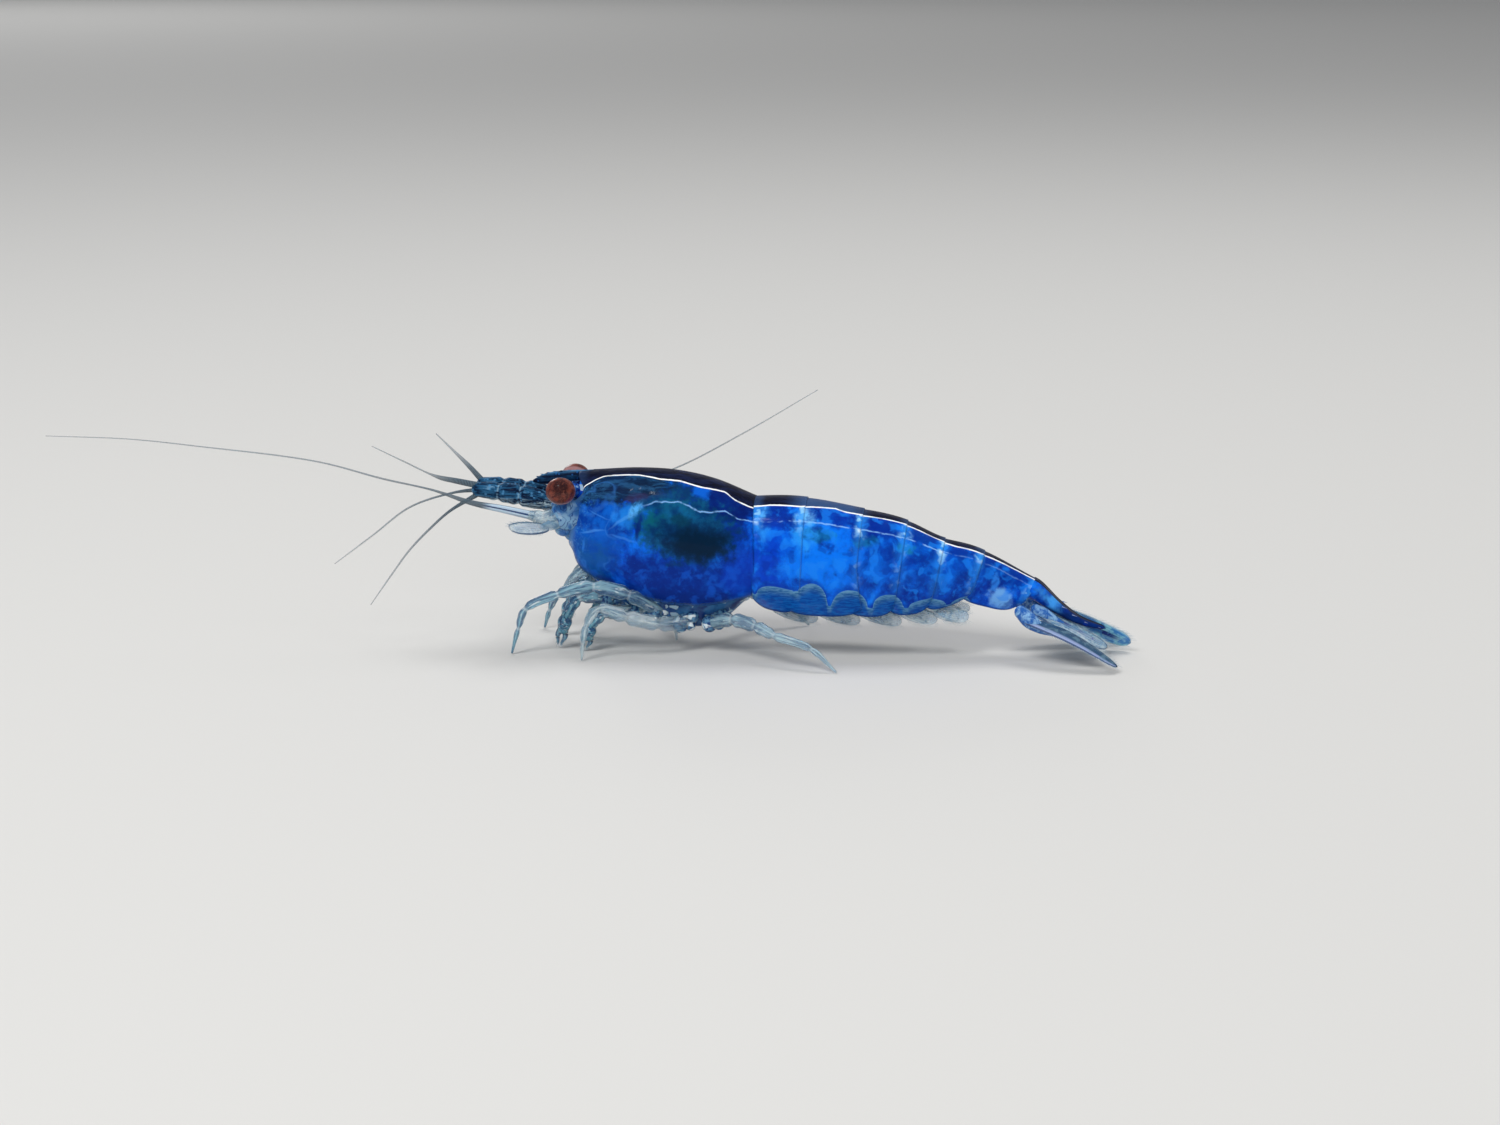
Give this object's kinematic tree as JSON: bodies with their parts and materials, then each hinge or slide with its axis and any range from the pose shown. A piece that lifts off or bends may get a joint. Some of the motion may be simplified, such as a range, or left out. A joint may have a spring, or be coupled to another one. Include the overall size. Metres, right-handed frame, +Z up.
{
  "type": "aquarium shrimp",
  "caption": "Small blue shrimp with an arched, jointed tail, standing on bent walking legs and a tail fan, with long thin feelers held forwards and one swept back.",
  "frame": {"origin": "middle of the bounding box on the floor the shrimp stands on", "axes": "+X from head to tail, +Y towards the shrimp's right side, +Z up"},
  "size_m": [0.048, 0.0094, 0.0112],
  "materials": {
    "shell": "gloss, wet and slightly translucent",
    "band": "gloss, near black",
    "limb": "gloss, translucent, dark-edged",
    "eye": "gloss",
    "feeler": "satin",
    "fin": "gloss, translucent"
  },
  "bodies": {
    "root": {"abdomen_1": "shell", "abdomen_2": "shell", "abdomen_3": "shell", "abdomen_4": "shell", "abdomen_5": "shell", "abdomen_6": "shell", "antenna_base_left": "limb", "antenna_base_right": "limb", "antenna_left": "feeler", "antenna_right": "feeler", "antennal_scale_left": "fin", "antennal_scale_right": "fin", "antennule_inner_left": "feeler", "antennule_inner_right": "feeler", "antennule_left": "shell", "antennule_outer_left": "feeler", "antennule_outer_right": "feeler", "antennule_right": "shell", "carapace": "shell", "eye_left": "eye", "eye_right": "eye", "eyestalk_left": "shell", "eyestalk_right": "shell", "head": "shell", "leg_1_left": "limb", "leg_1_right": "limb", "leg_2_left": "limb", "leg_2_right": "limb", "leg_3_left": "limb", "leg_3_right": "limb", "leg_4_left": "limb", "leg_4_right": "limb", "leg_5_left": "limb", "leg_5_right": "limb", "maxilliped_left": "limb", "maxilliped_right": "limb", "pleopod_1_left": "fin", "pleopod_1_right": "fin", "pleopod_2_left": "fin", "pleopod_2_right": "fin", "pleopod_3_left": "fin", "pleopod_3_right": "fin", "pleopod_4_left": "fin", "pleopod_4_right": "fin", "pleopod_5_left": "fin", "pleopod_5_right": "fin", "rostrum": "band", "telson": "shell", "thorax": "limb", "uropod_inner_left": "fin", "uropod_inner_right": "fin", "uropod_outer_left": "fin", "uropod_outer_right": "fin"}
  },
  "joints": []
}
